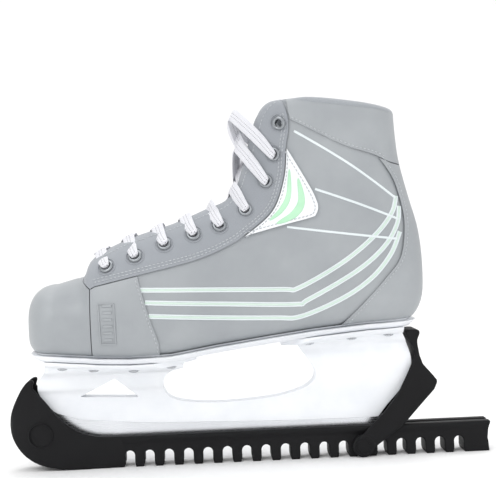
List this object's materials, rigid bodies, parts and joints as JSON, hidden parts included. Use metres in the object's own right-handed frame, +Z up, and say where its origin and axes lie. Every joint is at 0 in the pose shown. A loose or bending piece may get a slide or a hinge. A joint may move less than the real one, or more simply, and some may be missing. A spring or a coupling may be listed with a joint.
{
  "type": "hockey skates",
  "caption": "Laced ice hockey skate with a rigid boot, moulded blade holder and steel runner, standing in a toothed walking guard with a swinging heel strap.",
  "frame": {"origin": "on the floor, under the middle of the guard and skate's overall box", "axes": "-X is the toe, +X the heel, -Y the skater's outer (left) side, +Z up"},
  "size_m": [0.363, 0.1064, 0.2695],
  "materials": {
    "boot_shell": "smooth grey synthetic leather, satin",
    "eyestay": "grey woven-nylon-faced synthetic",
    "badge": "white padded synthetic with pale green marks",
    "lining": "brushed microfibre",
    "insole": "felt over foam",
    "eyelet_metal": "dull nickel",
    "lace": "flat woven white lace with a dotted black tracer",
    "aglet": "clear sleeve",
    "white_plastic": "white nylon, satin",
    "steel": "ground and polished stainless steel",
    "guard_plastic": "fine-textured black polypropylene"
  },
  "bodies": {
    "skate": {"toe_cap": "boot_shell", "quarter_left": "boot_shell", "quarter_right": "boot_shell", "vamp_panel_left": "boot_shell", "vamp_panel_right": "boot_shell", "heel_counter": "boot_shell", "collar": "boot_shell", "eyestay_left": "eyestay", "eyestay_right": "eyestay", "ankle_badge_left": "badge", "ankle_badge_right": "badge", "lining": "lining", "tongue": "lining", "insole": "insole", "eyelet_left_1": "eyelet_metal", "eyelet_left_2": "eyelet_metal", "eyelet_left_3": "eyelet_metal", "eyelet_left_4": "eyelet_metal", "eyelet_left_5": "eyelet_metal", "eyelet_left_6": "eyelet_metal", "eyelet_left_7": "eyelet_metal", "eyelet_left_8": "eyelet_metal", "eyelet_left_9": "eyelet_metal", "eyelet_right_1": "eyelet_metal", "eyelet_right_2": "eyelet_metal", "eyelet_right_3": "eyelet_metal", "eyelet_right_4": "eyelet_metal", "eyelet_right_5": "eyelet_metal", "eyelet_right_6": "eyelet_metal", "eyelet_right_7": "eyelet_metal", "eyelet_right_8": "eyelet_metal", "eyelet_right_9": "eyelet_metal", "lace": "lace", "aglet_left": "aglet", "aglet_right": "aglet", "outsole": "white_plastic", "blade_holder": "white_plastic", "runner": "steel", "runner_bolt_front": "steel", "runner_bolt_rear": "steel", "rivet_left_1": "steel", "rivet_left_2": "steel", "rivet_left_3": "steel", "rivet_left_4": "steel", "rivet_left_5": "steel", "rivet_left_6": "steel", "rivet_left_7": "steel", "rivet_right_1": "steel", "rivet_right_2": "steel", "rivet_right_3": "steel", "rivet_right_4": "steel", "rivet_right_5": "steel", "rivet_right_6": "steel", "rivet_right_7": "steel"},
    "guard": {"guard_rail": "guard_plastic"},
    "strap": {"heel_strap": "guard_plastic", "strap_pin": "guard_plastic"}
  },
  "joints": [
    {"name": "guard_off", "type": "slide", "parent": "skate", "child": "guard", "axis": [0.2425, 0, -0.9701], "range_m": [0, 0.06]},
    {"name": "strap_swing", "type": "hinge", "parent": "guard", "child": "strap", "pos_m": [0.0836, -0.00153, 0.0087], "axis": [0, 1, 0], "range_deg": [0, 38]}
  ]
}
